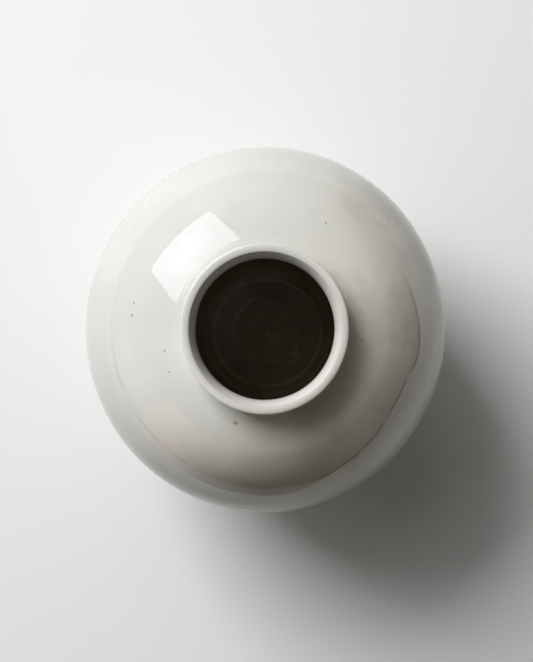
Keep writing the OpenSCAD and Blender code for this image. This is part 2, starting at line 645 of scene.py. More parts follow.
class Board:
    """A node tree that is being wired, with short calls for the nodes that the finishes need."""

    def __init__(self, tree: bpy.types.NodeTree, shelf: EffectShelf) -> None:
        """Starts on a tree.

        Args:
            tree: The tree.
            shelf: Where the shared effects come from.
        """
        self.tree = tree
        self.shelf = shelf
        self.place: Feed = ORIGIN

    @cached_property
    def flat(self) -> bpy.types.NodeSocket:
        """The place without its height."""
        return self.vector("MULTIPLY", self.place, (1.0, 1.0, 0.0))

    @cached_property
    def reach(self) -> bpy.types.NodeSocket:
        """The distance from the jar's axis."""
        return self.vector("LENGTH", self.flat)

    @cached_property
    def height(self) -> bpy.types.NodeSocket:
        """The height over the table."""
        return self.parts(self.place)["Z"]

    def parts(self, value: Feed) -> bpy.types.NodeOutputs:
        """Gives the X, Y and Z of a vector.

        Args:
            value: The vector.

        Returns:
            The three numbers, by name.
        """
        node = self.add("ShaderNodeSeparateXYZ")
        self.feed(node.inputs["Vector"], value)
        return node.outputs

    def add(self, kind: str, **settings: object) -> bpy.types.Node:
        """Adds a node.

        Args:
            kind: The node's type.
            **settings: What is set on the node.

        Returns:
            The node.
        """
        node = self.tree.nodes.new(kind)
        for name, value in settings.items():
            setattr(node, name, value)
        return node

    def feed(self, socket: bpy.types.NodeSocket, value: Feed) -> None:
        """Wires a socket into an input, or sets the input to a value.

        Args:
            socket: The input.
            value: An output socket, a number, a vector or a colour.
        """
        if isinstance(value, bpy.types.NodeSocket):
            self.tree.links.new(value, socket)
        elif socket.type == "RGBA":
            socket.default_value = (*value[:3], 1.0)
        else:
            socket.default_value = value

    def number(self, kind: str, *values: Feed) -> bpy.types.NodeSocket:
        """Works with numbers.

        Args:
            kind: The operation.
            *values: The numbers.

        Returns:
            The result.
        """
        node = self.add("ShaderNodeMath", operation=kind)
        for socket, value in zip(node.inputs, values):
            self.feed(socket, value)
        return node.outputs["Value"]

    def plus(self, *values: Feed) -> Feed:
        """Adds numbers."""
        return reduce(partial(self.number, "ADD"), values)

    def times(self, *values: Feed) -> Feed:
        """Multiplies numbers, and leaves out those that are 1."""
        wired = [value for value in values if value != 1.0]
        return reduce(partial(self.number, "MULTIPLY"), wired or [1.0])

    def times_plus(self, value: Feed, factor: Feed, rest: Feed) -> bpy.types.NodeSocket:
        """Multiplies two numbers and adds a third."""
        return self.number("MULTIPLY_ADD", value, factor, rest)

    def vector(self, kind: str, *values: Feed) -> bpy.types.NodeSocket:
        """Works with vectors.

        Args:
            kind: The operation.
            *values: The vectors.

        Returns:
            The result, a number for a length, a distance or a dot product.
        """
        node = self.add("ShaderNodeVectorMath", operation=kind)
        for socket, value in zip(node.inputs, values):
            self.feed(socket, value)
        gives_number = kind in ("LENGTH", "DISTANCE", "DOT_PRODUCT")
        return node.outputs["Value" if gives_number else "Vector"]

    def fade(
        self, value: Feed, start: Feed, end: Feed, low: Feed = 0.0, high: Feed = 1.0
    ) -> bpy.types.NodeSocket:
        """Runs softly from one number to another while a value goes from start to end.

        Args:
            value: The value.
            start: Where the run starts.
            end: Where it ends.
            low: What it gives at the start.
            high: What it gives at the end.

        Returns:
            The result.
        """
        node = self.add("ShaderNodeMapRange", interpolation_type="SMOOTHSTEP")
        names = ("Value", "From Min", "From Max", "To Min", "To Max")
        for name, given in zip(names, (value, start, end, low, high)):
            self.feed(node.inputs[name], given)
        return node.outputs["Result"]

    def spread(self, share: Feed, low: float, high: float) -> bpy.types.NodeSocket:
        """Runs softly from low to high while a share goes from 0 to 1."""
        return self.fade(share, 0.0, 1.0, low, high)

    def noise(self, scale: Feed, detail: float = 2.0) -> bpy.types.NodeSocket:
        """Gives soft noise.

        Args:
            scale: How many features there are in a metre.
            detail: How many finer layers it has.

        Returns:
            The noise, from 0 to 1.
        """
        node = self.add("ShaderNodeTexNoise")
        self.feed(node.inputs["Vector"], self.place)
        self.feed(node.inputs["Scale"], scale)
        node.inputs["Detail"].default_value = detail
        return node.outputs["Fac"]

    def wander(self, scale: float, reach: float, detail: float = 2.0) -> bpy.types.NodeSocket:
        """Gives soft noise that strays up to a reach either way."""
        return self.times_plus(self.noise(scale, detail), 2 * reach, -reach)

    def tint(
        self, share: Feed, under: Feed, over: Feed, blend: Blend = Blend.COVER
    ) -> bpy.types.NodeSocket:
        """Lays one colour over another.

        Args:
            share: How much of the second colour shows.
            under: The first colour.
            over: The second colour.
            blend: How the colours meet.

        Returns:
            The colour.
        """
        node = self.add("ShaderNodeMix", data_type="RGBA", blend_type=blend.value)
        sockets = {socket.identifier: socket for socket in node.inputs}
        self.feed(sockets["Factor_Float"], share)
        self.feed(sockets["A_Color"], under)
        self.feed(sockets["B_Color"], over)
        return {socket.identifier: socket for socket in node.outputs}["Result_Color"]

    def use(self, effect: Effect, output: str = "Mask", **inputs: Feed) -> bpy.types.NodeSocket:
        """Places a shared effect.

        Args:
            effect: The effect.
            output: Which of its outputs is wanted.
            **inputs: What is fed into its inputs, besides the place.

        Returns:
            The output.
        """
        node = self.add("ShaderNodeGroup", node_tree=self.shelf.get(effect))
        if "Place" in node.inputs:
            self.feed(node.inputs["Place"], self.place)
        for name, value in inputs.items():
            self.feed(node.inputs[name], value)
        return node.outputs[output]

    def on_side(self, side: Side) -> bpy.types.NodeSocket:
        """Masks a side of the jar."""
        facing = (*Point(0.0, 0.0).moved(math.radians(side.azimuth), 1.0), 0.0)
        return self.use(Effect.SECTOR, Facing=facing, Start=side.start, Full=side.full)

    def in_band(self, value: Feed, band: Band) -> bpy.types.NodeSocket:
        """Masks where a value in metres lies in a band."""
        edges = {name.title(): size * MM for name, size in band._asdict().items()}
        return self.use(Effect.BAND, Value=value, **edges)

    def at_mark(self, mark: Mark, core: float) -> bpy.types.NodeSocket:
        """Masks a mark, with its full core as a share of its radius."""
        return self.use(Effect.SPOT, Centre=mark.centre, Radius=mark.radius * MM, Core=core)

    def lay(
        self, patches: Iterable[Patch], colour: Feed, value: Feed = 0.0, veil: Feed = 1.0
    ) -> bpy.types.NodeSocket:
        """Lays patches over a colour.

        Args:
            patches: The patches, from the lowest up.
            colour: The colour under them.
            value: What their bands go by, in metres.
            veil: A further mask on all of them.

        Returns:
            The colour.
        """
        for patch in patches:
            side = self.on_side(patch.side) if patch.side else 1.0
            band = self.in_band(value, patch.band) if patch.band else 1.0
            share = self.times(band, side, veil, patch.share)
            colour = self.tint(share, colour, patch.colour, patch.blend)
        return colour


class EffectShelf:
    """Builds the node group of each shared effect when it is first asked for, and keeps it."""

    def __init__(self) -> None:
        """Starts with nothing made."""
        self.made: dict[Effect, bpy.types.NodeTree] = {}

    def get(self, effect: Effect) -> bpy.types.NodeTree:
        """Gives an effect's node group.

        Args:
            effect: The effect.

        Returns:
            Its node group.
        """
        if effect not in self.made:
            getattr(self, effect.value)()
        return self.made[effect]

    def open(
        self, effect: Effect, *outputs: str, **inputs: Feed
    ) -> tuple[Board, bpy.types.NodeOutputs, bpy.types.NodeInputs]:
        """Starts an effect's node group and gives it its sockets.

        Args:
            effect: The effect.
            *outputs: The names of its outputs, which are numbers.
            **inputs: Its inputs by name, each with its usual number or vector.

        Returns:
            A board for the group, the sockets that bring the inputs, and those that take the outputs.
        """
        tree = bpy.data.node_groups.new(effect.value, "ShaderNodeTree")
        self.made[effect] = tree
        for name, usual in inputs.items():
            kind = "NodeSocketVector" if isinstance(usual, tuple) else "NodeSocketFloat"
            socket = tree.interface.new_socket(name=name, in_out="INPUT", socket_type=kind)
            socket.default_value = usual
        for name in outputs:
            tree.interface.new_socket(name=name, in_out="OUTPUT", socket_type="NodeSocketFloat")
        board = Board(tree, self)
        given = board.add("NodeGroupInput").outputs
        if "Place" in inputs:
            board.place = given["Place"]
        return board, given, board.add("NodeGroupOutput").inputs

    def clouds(self) -> None:
        """Builds soft patches, as where a glaze lies thicker."""
        board, given, result = self.open(
            Effect.CLOUDS, "Mask", Place=ORIGIN, Scale=10.0, Low=0.4, High=0.6
        )
        patches = board.noise(given["Scale"], detail=4.0)
        board.feed(result["Mask"], board.fade(patches, given["Low"], given["High"]))

    def iron_specks(self) -> None:
        """Builds scattered iron specks, each with a size of its own."""
        board, given, result = self.open(
            Effect.SPECKS, "Mask", Place=ORIGIN, Scale=100.0, Size=0.2, Share=0.5
        )
        smallest, core_share = 0.3, 0.45
        cells = board.add("ShaderNodeTexVoronoi")
        board.feed(cells.inputs["Vector"], board.place)
        board.feed(cells.inputs["Scale"], given["Scale"])
        draw = board.add("ShaderNodeSeparateColor")
        board.feed(draw.inputs["Color"], cells.outputs["Color"])
        size = board.times_plus(draw.outputs["Green"], 1.0 - smallest, smallest)
        edge = board.times(size, given["Size"])
        mark = board.fade(cells.outputs["Distance"], board.times(edge, core_share), edge, 1.0, 0.0)
        drawn = board.number("LESS_THAN", draw.outputs["Red"], given["Share"])
        board.feed(result["Mask"], board.times(mark, drawn))

    def spot(self) -> None:
        """Builds one spot at a place, a little out of round."""
        board, given, result = self.open(
            Effect.SPOT, "Mask", Place=ORIGIN, Centre=ORIGIN, Radius=0.001, Core=0.5
        )
        raggedness = 0.9
        reach = board.vector("DISTANCE", board.place, given["Centre"])
        ragged = board.times_plus(board.noise(1100.0, 1.0), raggedness, 1.0 - raggedness / 2)
        core = board.times(given["Radius"], given["Core"])
        mark = board.fade(board.times(reach, ragged), core, given["Radius"], 1.0, 0.0)
        board.feed(result["Mask"], mark)

    def band(self) -> None:
        """Builds a band between two values, with soft edges."""
        board, given, result = self.open(
            Effect.BAND, "Mask", Value=0.0, Low=0.0, High=1.0, Rise=0.1, Fall=0.1
        )
        foot = board.number("SUBTRACT", given["Low"], given["Rise"])
        head = board.plus(given["High"], given["Fall"])
        rise = board.fade(given["Value"], foot, given["Low"])
        fall = board.fade(given["Value"], given["High"], head, 1.0, 0.0)
        board.feed(result["Mask"], board.times(rise, fall))

    def sector(self) -> None:
        """Builds the side of the jar that faces one way."""
        board, given, result = self.open(
            Effect.SECTOR, "Mask", Place=ORIGIN, Facing=(1.0, 0.0, 0.0), Start=0.0, Full=1.0
        )
        facing = board.vector("DOT_PRODUCT", board.vector("NORMALIZE", board.flat), given["Facing"])
        board.feed(result["Mask"], board.fade(facing, given["Start"], given["Full"]))

    def throwing_ribs(self) -> None:
        """Builds the low ridges that the potter's fingers leave, which climb and fade as they go."""
        board, given, result = self.open(
            Effect.RIBS, "Height", Place=ORIGIN, Value=0.0, Pitch=0.01, Waver=0.002
        )
        weakest = 0.3
        level = board.plus(given["Value"], board.times(board.noise(7.0, 1.0), given["Waver"]))
        phase = board.times(board.number("DIVIDE", level, given["Pitch"]), TURN)
        wave = board.times_plus(board.number("SINE", phase), 0.5, 0.5)
        strength = board.fade(board.noise(16.0, 1.0), 0.3, 0.7, weakest, 1.0)
        board.feed(result["Height"], board.times(wave, strength))

    def runs(self) -> None:
        """Builds runs of glaze that follow the wall up and down."""
        board, given, result = self.open(
            Effect.STREAKS, "Mask", Place=ORIGIN, Count=12.0, Low=0.55, High=0.7
        )
        stretch = (0.0, 0.0, 1.2)
        around = board.vector("NORMALIZE", board.flat)
        board.place = board.vector("ADD", around, board.vector("MULTIPLY", board.place, stretch))
        streaks = board.noise(given["Count"], 3.0)
        board.feed(result["Mask"], board.fade(streaks, given["Low"], given["High"]))

    def glaze_skin(self) -> None:
        """Builds the skin of a fired glaze: its slow swells and fine pits in mm, and its gloss."""
        board, _, result = self.open(Effect.SKIN, "Height", "Gloss", Place=ORIGIN)
        swell_height, pit_depth = 0.07, 0.0022
        swell = board.times(board.noise(24.0, 1.0), swell_height)
        board.feed(result["Height"], board.times_plus(board.noise(240.0, 1.0), pit_depth, swell))
        board.feed(result["Gloss"], board.fade(board.noise(30.0, 5.0), 0.35, 0.65))

    def crazing(self) -> None:
        """Builds the fine net of cracks in a thin or pooled glaze."""
        board, given, result = self.open(Effect.CRAZE, "Mask", Place=ORIGIN, Scale=90.0, Width=0.03)
        shift = (6 * MM,) * 3
        bent = board.vector("ADD", board.place, board.vector("MULTIPLY", shift, board.noise(60.0)))
        net = board.add("ShaderNodeTexVoronoi", feature="DISTANCE_TO_EDGE")
        board.feed(net.inputs["Vector"], bent)
        board.feed(net.inputs["Scale"], given["Scale"])
        board.feed(result["Mask"], board.fade(net.outputs["Distance"], 0.0, given["Width"], 1.0, 0.0))

    def grit(self) -> None:
        """Builds the grain of bare or slip-coated clay: grains that stand out and small open pores."""
        board, given, result = self.open(Effect.GRIT, "Height", "Pores", Place=ORIGIN, Scale=900.0)
        pore_depth = 0.6
        pores = board.use(Effect.SPECKS, Scale=600.0, Size=0.45, Share=0.3)
        grain = board.noise(given["Scale"], 4.0)
        board.feed(result["Height"], board.times_plus(pores, -pore_depth, grain))
        board.feed(result["Pores"], pores)


class Look(NamedTuple):
    """What a finish feeds into its shader: its colour, its roughness, its relief in mm and its sheen."""

    colour: Feed
    roughness: Feed
    relief: Feed | None = None
    specular: float = 0.5


@dataclass(frozen=True)
class Finish:
    """What all the finishes share: a name, and a material that takes their look."""

    name: str

    def paint(self, shelf: EffectShelf) -> bpy.types.Material:
        """Makes the material.

        Args:
            shelf: The shared effects.

        Returns:
            The material.
        """
        material = bpy.data.materials.new(self.name)
        material.use_nodes = True
        shader = material.node_tree.nodes["Principled BSDF"]
        board = Board(material.node_tree, shelf)
        board.place = board.add("ShaderNodeTexCoord").outputs["Object"]
        look = self.look(board)
        board.feed(shader.inputs["Base Color"], look.colour)
        board.feed(shader.inputs["Roughness"], look.roughness)
        board.feed(shader.inputs["Specular IOR Level"], look.specular)
        if look.relief is not None:
            bump = board.add("ShaderNodeBump")
            board.feed(bump.inputs["Strength"], 1.0)
            board.feed(bump.inputs["Distance"], MM)
            board.feed(bump.inputs["Height"], look.relief)
            board.feed(shader.inputs["Normal"], bump.outputs["Normal"])
        return material

    def look(self, board: Board) -> Look:
        """Wires what the finish looks like.

        Args:
            board: The material's board.

        Returns:
            The look.
        """
        raise NotImplementedError


RUST = (0.24, 0.12, 0.05)
SOOT = (0.12, 0.10, 0.08)
# Heights in mm below and above the whole jar, for bands with one edge
DEEP = -100.0
TOP = 400.0


@dataclass(frozen=True)
class OutsideGlaze(Finish):
    """Clear glaze over white clay, cool and bright on one side, warmer and stained on the other, with
    painted shade and painted light laid in patches by side and height.
    """

    thick: Colour = (0.672, 0.672, 0.642)
    thin: Colour = (0.712, 0.710, 0.680)
    warm: Colour = (0.740, 0.714, 0.636)
    blush: Colour = (0.726, 0.692, 0.622)
    mottle: Colour = (0.930, 0.920, 0.900)
    faint: Colour = (1.050, 1.050, 1.040)
    roughness: tuple[float, float] = (0.015, 0.05)
    warm_side: Side = Side(-22.0, -0.45, 0.75)
    warm_band: Band = Band(275.0, TOP, 30.0, 1.0)
    # Painted shade and painted light in the white: darker on the lamp's side, lighter on the lower left,
    # painted shade below 262 mm that tones down the floor's reflection, and a painted reflection of the
    # floor's shadow near the outline on the lower side
    white_patches: tuple[Patch, ...] = (
        Patch((0.640, 0.645, 0.625), Side(135.0, 0.20, 0.90), None, 0.85, Blend.COVER),
        Patch(
            (0.760, 0.752, 0.715), Side(-132.0, 0.55, 0.92), Band(288.0, TOP, 26.0, 1.0), 1.0, Blend.COVER
        ),
        Patch((0.935, 0.935, 0.930), None, Band(DEEP, 262.0, 1.0, 30.0)),
        Patch((0.765, 0.760, 0.740), Side(-95.0, 0.70, 0.90), Band(DEEP, 246.0, 1.0, 26.0)),
    )
    # Painted shade and painted light on the shoulder: shade on the upper right and on the lower side, a
    # shaded band at 289 to 296 mm on the lower right, light near the neck on the right and on the lower
    # left, and a painted reflection of the lit floor low on the lower right
    shoulder_patches: tuple[Patch, ...] = (
        Patch((0.940, 0.925, 0.915), Side(27.0, 0.72, 0.95), Band(245.0, 288.0, 20.0, 14.0)),
        Patch((0.900, 0.885, 0.865), Side(-32.0, 0.75, 0.95), Band(289.0, 296.0, 6.0, 8.0)),
        Patch((1.060, 1.055, 1.050), Side(0.0, 0.60, 0.90), Band(304.0, TOP, 7.0, 1.0)),
        Patch((0.880, 0.875, 0.860), Side(-84.0, 0.92, 0.99), Band(268.0, 299.0, 10.0, 5.0)),
        Patch((1.070, 1.052, 1.020), Side(-128.0, 0.93, 0.985), Band(275.0, 303.0, 6.0, 4.0)),
        Patch((1.110, 1.100, 1.110), Side(-27.0, 0.955, 0.995), Band(258.0, 272.0, 5.0, 6.0)),
    )
    run_line: Patch = Patch(
        (0.860, 0.830, 0.780), Side(-136.0, 0.66, 0.90), Band(162.4, 163.0, 0.5, 1.6)
    )
    flush: Mark = Mark(-131.0, 156.0, 282.0, 36.0, (0.930, 0.865, 0.820))
    stain_plane: tuple[float, float, float] = (-0.0027, -0.0828, 1.0)
    stain_level: float = 279.9 * MM
    stain_bay: tuple[Side, float] = (Side(-46.0, 0.80, 0.985), 8 * MM)
    stain_cape: tuple[Side, float] = (Side(14.0, 0.84, 0.975), 4.8 * MM)
    # The brown stain, and a paler band just below its edge on the lower right that is painted reflection of
    # the lit floor
    stains: tuple[Patch, ...] = (
        Patch((0.800, 0.780, 0.700), Side(-62.0, 0.62, 0.97), None, 0.42),
        Patch((0.640, 0.620, 0.590), Side(-88.0, 0.72, 0.97), Band(0.0, 12.0, 0.6, 26.0)),
        Patch(
            (0.830, 0.812, 0.785), Side(-16.0, 0.70, 0.93), Band(-24.0, -1.5, 22.0, 2.5), 0.9, Blend.COVER
        ),
        Patch(
            (0.560, 0.490, 0.390), Side(-32.0, 0.52, 0.76), Band(0.0, 1.5, 0.5, 24.0), 0.30, Blend.COVER
        ),
    )
    drips: Patch = Patch(
        (0.560, 0.490, 0.390), Side(-32.0, 0.52, 0.76), Band(0.0, 1.5, 0.5, 24.0), 0.15, Blend.COVER
    )
    rust_line: Patch = Patch(
        (0.360, 0.230, 0.120), Side(-32.0, 0.52, 0.76), Band(-0.3, 0.5, 0.5, 1.4), 0.52, Blend.COVER
    )
    marks: tuple[Mark, ...] = (
        Mark(168.3, 140.2, 294.1, 1.5, RUST),
        Mark(173.7, 140.0, 294.3, 1.6, RUST),
        Mark(60.5, 127.4, 301.5, 1.4, RUST),
        Mark(-6.3, 100.1, 312.8, 1.2, SOOT),
        Mark(-168.1, 106.3, 310.7, 1.1, SOOT),
        Mark(-156.4, 108.6, 309.8, 1.1, SOOT),
        Mark(-47.9, 103.9, 311.5, 1.1, SOOT),
        Mark(41.3, 174.1, 264.5, 1.1, SOOT),
        Mark(141.6, 180.3, 255.8, 1.1, SOOT),
        Mark(75.0, 182.6, 252.2, 1.1, SOOT),
        Mark(-107.7, 100.7, 312.6, 4.2, (0.58, 0.54, 0.47)),
        Mark(-107.7, 100.7, 312.6, 1.7, SOOT),
        Mark(-62.6, 132.4, 298.8, 1.2, SOOT),
    )

    def look(self, board: Board) -> Look:
        """Wires the glaze's clouds, painted shade and painted light, stain, specks and skin.

        Args:
            board: The material's board.

        Returns:
            The look.
        """
        colour, dents = self.marked(board, self.stained(board, self.clouded(board)))
        roughness = board.spread(board.use(Effect.SKIN, "Gloss"), *self.roughness)
        return Look(colour, roughness, board.plus(board.use(Effect.SKIN, "Height"), dents))

    def clouded(self, board: Board) -> bpy.types.NodeSocket:
        """Gives the glaze's colour, with its clouds, its warm side and its patches of painted shade and
        painted light.

        Args:
            board: The material's board.

        Returns:
            The colour.
        """
        broad = board.use(Effect.CLOUDS, Scale=9.0, Low=0.36, High=0.64)
        small = board.use(Effect.CLOUDS, Scale=42.0, Low=0.3, High=0.7)
        blots = board.use(Effect.CLOUDS, Scale=17.0, Low=0.46, High=0.62)
        torn = board.use(Effect.CLOUDS, Scale=34.0, Low=0.40, High=0.60)
        # The white glaze, with its painted shade and painted light
        white = board.lay(self.white_patches, board.tint(broad, self.thick, self.thin), board.height)
        side = board.on_side(self.warm_side)
        warm_height = board.in_band(board.height, self.warm_band)
        patchy = board.times(side, board.spread(small, 0.55, 1.0), warm_height)
        glow = board.tint(board.times(small, 0.6), self.warm, self.blush)
        # Painted shade and painted light on the shoulder
        colour = board.lay(self.shoulder_patches, board.tint(patchy, white, glow), board.height)
        strayed = board.plus(board.reach, board.wander(6.0, 8 * MM))
        colour = board.lay([self.run_line], colour, strayed, veil=board.spread(torn, 0.15, 0.65))
        flushed = board.times(board.at_mark(self.flush, core=0.1), 0.6)
        colour = board.tint(flushed, colour, self.flush.colour, Blend.TINT)
        patches = board.tint(blots, self.faint, self.mottle)
        return board.tint(board.spread(side, 0.25, 1.0), colour, patches, Blend.TINT)

    def stained(self, board: Board, colour: Feed) -> bpy.types.NodeSocket:
        """Lays the brown stain on the shoulder, with its broken edge and its runs, and a paler band of
        painted reflection below its edge.

        Args:
            board: The material's board.
            colour: The colour under the stain.

        Returns:
            The colour.
        """
        broken = board.use(Effect.CLOUDS, Scale=55.0, Low=0.32, High=0.55)
        runs = board.use(Effect.STREAKS, Count=26.0, Low=0.5, High=0.72)
        (bay_side, bay), (cape_side, cape) = self.stain_bay, self.stain_cape
        edge = board.plus(
            board.vector("DOT_PRODUCT", board.place, self.stain_plane),
            -self.stain_level,
            board.times(board.on_side(bay_side), -bay),
            board.times(board.on_side(cape_side), cape),
            board.wander(40.0, 0.6 * MM, 3.0),
        )
        # The stain, and the painted reflection below its edge
        colour = board.lay(self.stains, colour, edge)
        colour = board.lay([self.drips], colour, edge, veil=runs)
        return board.lay([self.rust_line], colour, edge, veil=broken)

    def marked(self, board: Board, colour: Feed) -> tuple[bpy.types.NodeSocket, bpy.types.NodeSocket]:
        """Puts the specks and pinholes in the glaze.

        Args:
            board: The material's board.
            colour: The colour under them.

        Returns:
            The colour, and the height of the dents in mm.
        """
        pit_depth, mark_depth, mark_share = 0.05, 0.12, 0.92
        fine = board.use(Effect.SPECKS, Scale=70.0, Size=0.035, Share=0.35)
        colour = board.tint(board.times(fine, 0.45), colour, SOOT)
        pits = board.use(Effect.SPECKS, Scale=110.0, Size=0.03, Share=0.2)
        dents = board.times(pits, -pit_depth)
        for mark in self.marks:
            spot = board.at_mark(mark, core=0.35)
            colour = board.tint(board.times(spot, mark_share), colour, mark.colour)
            dents = board.times_plus(spot, -mark_depth, dents)
        return colour, dents


@dataclass(frozen=True)
class InsideGlaze(Finish):
    """White glaze in the neck, and a thin dark wash over the throwing rings below it, with painted glints
    and painted light on its lower right.
    """

    edge_height: float = 0.31
    white: Colour = (0.68, 0.67, 0.635)
    cream: Colour = (0.70, 0.685, 0.65)
    dark: Colour = (0.350, 0.318, 0.235)
    pale_ring: Colour = (0.600, 0.540, 0.400)
    rim_line: Colour = (0.50, 0.36, 0.24)
    rim_band: Band = Band(77.9, 78.4, 0.5, 0.6)
    rim_side: Side = Side(-140.3, -0.6, 0.8)
    roughness: tuple[float, float] = (0.1, 0.24)
    coil_pitch: float = 9 * MM
    throw_centre: tuple[float, float, float] = (2.4 * MM, -3.0 * MM, 0.0)
    # Painted glints: pale smears on the lower right of the floor, where the glaze would reflect the lamp
    smear: Patch = Patch(
        (0.600, 0.540, 0.400), Side(-47.0, 0.75, 0.97), Band(40.0, 50.0, 5.0, 7.0), 0.55, Blend.COVER
    )
    # Painted light: the lower right of the inside is lightened where the lamp shines in through the mouth
    lit: Patch = Patch((1.30, 1.28, 1.23), Side(-45.4, 0.55, 0.97), None)
    spots: tuple[Mark, ...] = (
        Mark(148.8, 48.0, 28.0, 2.4, SOOT),
        Mark(-106.0, 46.8, 28.0, 2.2, SOOT),
        Mark(-109.7, 56.0, 29.0, 2.8, SOOT),
        Mark(-75.0, 65.2, 31.0, 2.6, SOOT),
        Mark(-5.0, 23.8, 25.0, 1.8, SOOT),
    )

    def look(self, board: Board) -> Look:
        """Wires the two glazes, the rings and the spots.

        Args:
            board: The material's board.

        Returns:
            The look.
        """
        rib_height, edge_half = 0.12, 1 * MM
        clouds = board.use(Effect.CLOUDS, Scale=22.0, Low=0.3, High=0.7)
        ribs = board.use(Effect.RIBS, "Height", Value=board.height, Pitch=11 * MM, Waver=6 * MM)
        wash = board.tint(board.times(ribs, 0.35), self.dark, self.pale_ring)
        wash = self.ringed(board, board.tint(board.spread(clouds, 0.0, 0.30), wash, SOOT))
        for mark in self.spots:
            wash = board.tint(board.times(board.at_mark(mark, core=0.2), 0.75), wash, mark.colour)
        level = board.plus(board.height, board.wander(30.0, 2.5 * MM))
        white = board.fade(level, self.edge_height - edge_half, self.edge_height + edge_half)
        cream = board.tint(board.times(clouds, 0.5), self.white, self.cream)
        colour = self.lipped(board, board.tint(white, wash, cream))
        roughness = board.spread(board.use(Effect.SKIN, "Gloss"), *self.roughness)
        low = board.times(board.number("SUBTRACT", 1.0, white), rib_height)
        return Look(colour, roughness, board.times_plus(ribs, low, board.use(Effect.SKIN, "Height")))

    def ringed(self, board: Board, colour: Feed) -> bpy.types.NodeSocket:
        """Pales the ridges on the floor, where the wash breaks thin, draws the spiral in the middle, and
        lays painted glints and painted lamp light on the lower right.

        Args:
            board: The material's board.
            colour: The colour under the rings.

        Returns:
            The colour.
        """
        strength, half = 1.3, 0.6
        shifted = board.vector("SUBTRACT", board.place, self.throw_centre)
        reach = board.vector("LENGTH", board.vector("MULTIPLY", shifted, (1.0, 1.0, 0.0)))
        reach = board.plus(reach, board.wander(14.0, 1.5 * MM, 1.0))
        broken = board.use(Effect.CLOUDS, Scale=18.0, Low=0.3, High=0.62)
        rings = 0.0
        for ridge in FLOOR_RIDGES:
            ring = board.in_band(reach, Band(ridge.at - half, ridge.at + half, 1.6, 2.2))
            rings = board.times_plus(ring, strength * ridge.rise, rings)
        share = board.times(rings, board.spread(broken, 0.3, 1.0))
        colour = board.tint(share, colour, self.pale_ring)
        parts = board.parts(shifted)
        turn = board.number("ARCTAN2", parts["Y"], parts["X"])
        wave = board.number("SINE", board.times_plus(reach, TURN / self.coil_pitch, turn))
        near = board.fade(reach, 18 * MM, 34 * MM, 0.3, 0.0)
        colour = board.tint(board.times(board.fade(wave, 0.2, 1.0), near, broken), colour, self.pale_ring)
        glint_clouds = board.use(Effect.CLOUDS, Scale=48.0, Low=0.46, High=0.66)
        # Painted glints, then painted lamp light, on the lower right
        return board.lay([self.lit], board.lay([self.smear], colour, reach, veil=glint_clouds))

    def lipped(self, board: Board, colour: Feed) -> bpy.types.NodeSocket:
        """Draws the thin warm line where the glaze breaks on the lip's inner edge.

        Args:
            board: The material's board.
            colour: The colour under the line.

        Returns:
            The colour.
        """
        line = board.in_band(board.plus(board.reach, board.wander(50.0, 0.4 * MM)), self.rim_band)
        top = board.fade(board.height, 0.334, 0.337)
        side = board.spread(board.on_side(self.rim_side), 0.15, 0.35)
        return board.tint(board.times(line, top, side), colour, self.rim_line)


@dataclass(frozen=True)
class WellGlaze(Finish):
    """The thin glaze in the foot's well, crazed and speckled."""

    glaze: Colour = (0.64, 0.63, 0.58)
    pool: Colour = (0.58, 0.59, 0.53)
    crack: Colour = (0.36, 0.30, 0.22)
    roughness: tuple[float, float] = (0.16, 0.34)

    def look(self, board: Board) -> Look:
        """Wires the pools, the crazing and the specks.

        Args:
            board: The material's board.

        Returns:
            The look.
        """
        ring_height = 0.08
        pools = board.use(Effect.CLOUDS, Scale=30.0, Low=0.35, High=0.65)
        net = board.use(Effect.CRAZE, Scale=95.0, Width=0.035)
        fine = board.use(Effect.SPECKS, Scale=160.0, Size=0.12, Share=0.25)
        colour = board.tint(pools, self.glaze, self.pool)
        colour = board.tint(board.times(net, 0.45), colour, self.crack)
        colour = board.tint(board.times(fine, 0.6), colour, SOOT)
        roughness = board.spread(board.use(Effect.SKIN, "Gloss"), *self.roughness)
        rings = board.use(Effect.RIBS, "Height", Value=board.reach, Pitch=6 * MM, Waver=2 * MM)
        relief = board.times_plus(rings, ring_height, board.use(Effect.SKIN, "Height"))
        return Look(colour, roughness, relief)


@dataclass(frozen=True)
class BareClay(Finish):
    """Fired clay with no glaze: gritty, flushed orange near the glaze and rubbed pale where it stands."""

    clay: Colour = (0.66, 0.56, 0.44)
    flush: Colour = (0.60, 0.38, 0.22)
    rubbed: Colour = (0.74, 0.69, 0.60)
    roughness: tuple[float, float] = (0.92, 0.7)
    flush_height: float = 4 * MM

    def look(self, board: Board) -> Look:
        """Wires the grain, the flush and the rubbed base.

        Args:
            board: The material's board.

        Returns:
            The look.
        """
        grit_height = 0.12
        clouds = board.use(Effect.CLOUDS, Scale=45.0, Low=0.3, High=0.7)
        near = board.fade(board.height, 0.2 * self.flush_height, self.flush_height)
        colour = board.tint(board.times(clouds, 0.3), self.clay, self.rubbed)
        colour = board.tint(board.times(board.spread(clouds, 0.35, 1.0), near), colour, self.flush)
        level = board.times_plus(clouds, 0.5 * MM, board.height)
        rub = board.fade(level, 0.2 * MM, 0.9 * MM, 0.85, 0.0)
        colour = board.tint(rub, colour, self.rubbed)
        colour = board.tint(board.times(board.use(Effect.GRIT, "Pores"), 0.55), colour, SOOT)
        iron = board.use(Effect.SPECKS, Scale=220.0, Size=0.14, Share=0.25)
        colour = board.tint(board.times(iron, 0.7), colour, RUST)
        relief = board.times(board.use(Effect.GRIT, "Height"), grit_height)
        return Look(colour, board.spread(rub, *self.roughness), relief)


